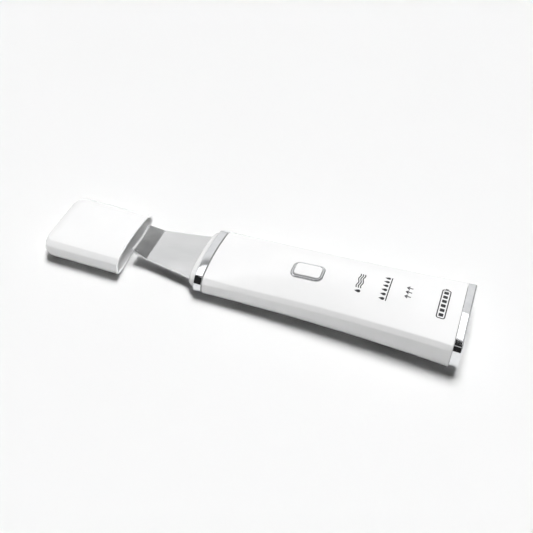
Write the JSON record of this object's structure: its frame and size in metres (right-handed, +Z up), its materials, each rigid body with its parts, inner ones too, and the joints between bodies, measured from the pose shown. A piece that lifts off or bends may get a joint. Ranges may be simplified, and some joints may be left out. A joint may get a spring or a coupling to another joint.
{
  "type": "ultrasonic skin scrubber",
  "caption": "Handheld ultrasonic skin scrubber with a bent steel spatula blade, chrome head band and tail cap, one push key, and a slip-on blade cap.",
  "frame": {"origin": "on the surface that the scrubber lies on, under the seam between the chrome head ring and the shells, on the handset's centre line", "axes": "+X along the handset towards its tail, +Y across it, +Z up out of its key side"},
  "size_m": [0.2076, 0.045, 0.017],
  "materials": {
    "white_gloss": "white moulded plastic with a smooth gloss",
    "chrome": "mirror-bright chrome plating",
    "blade_steel": "finely brushed stainless steel sheet",
    "silicone": "soft translucent silicone",
    "piezo_ceramic": "fired ceramic with a thin silver electrode",
    "nylon": "dark moulded nylon",
    "screw_zinc": "zinc-plated steel",
    "black_plastic": "black moulded epoxy",
    "board_green": "green solder mask on glass-fibre board",
    "led_clear": "clear moulded lens",
    "foil_silver": "dull aluminium foil laminate",
    "copper": "enamelled copper winding",
    "foam": "dark cellular foam",
    "wire_red": "red insulated lead",
    "wire_black": "black insulated lead",
    "socket_steel": "drawn steel socket shell"
  },
  "bodies": {
    "housing": {"top_shell": "white_gloss", "back_shell": "white_gloss", "head_ring": "chrome", "nose_collar": "white_gloss", "blade": "blade_steel", "blade_grommet": "silicone", "piezo_plate_upper": "piezo_ceramic", "piezo_plate_lower": "piezo_ceramic", "clamp_base": "nylon", "clamp_strap": "nylon", "clamp_screw_1": "screw_zinc", "clamp_screw_2": "screw_zinc", "button_bezel": "chrome", "switch_body": "black_plastic", "circuit_board": "board_green", "board_screw_1": "screw_zinc", "board_screw_2": "screw_zinc", "board_screw_3": "screw_zinc", "board_screw_4": "screw_zinc", "mode_led_1": "led_clear", "mode_led_2": "led_clear", "mode_led_3": "led_clear", "control_chip": "black_plastic", "filter_capacitor": "foil_silver", "step_up_transformer": "black_plastic", "choke_coil": "copper", "battery_cell": "foil_silver", "cell_pad": "foam", "cell_lead_red": "wire_red", "cell_lead_black": "wire_black", "piezo_lead_red": "wire_red", "piezo_lead_black": "wire_black", "end_plate": "nylon", "plate_screw_1": "screw_zinc", "plate_screw_2": "screw_zinc", "charging_socket": "socket_steel", "tail_cap": "chrome"},
    "key": {"button_key": "white_gloss"},
    "plunger": {"switch_plunger": "black_plastic"},
    "cap": {"protective_cap": "white_gloss"}
  },
  "joints": [
    {"name": "key_press", "type": "slide", "parent": "housing", "child": "key", "axis": [0, 0, -1], "range_m": [0, 0.0005], "stiffness_N_per_m": 3000},
    {"name": "plunger_press", "type": "slide", "parent": "housing", "child": "plunger", "axis": [0, 0, -1], "range_m": [0, 0.0005]},
    {"name": "cap_slide", "type": "slide", "parent": "housing", "child": "cap", "axis": [0.997, 0.0778, 0], "range_m": [-0.03, 0.0384]}
  ],
  "couplings": [
    {"joint": "plunger_press", "follows": "key_press", "ratio": 1}
  ]
}
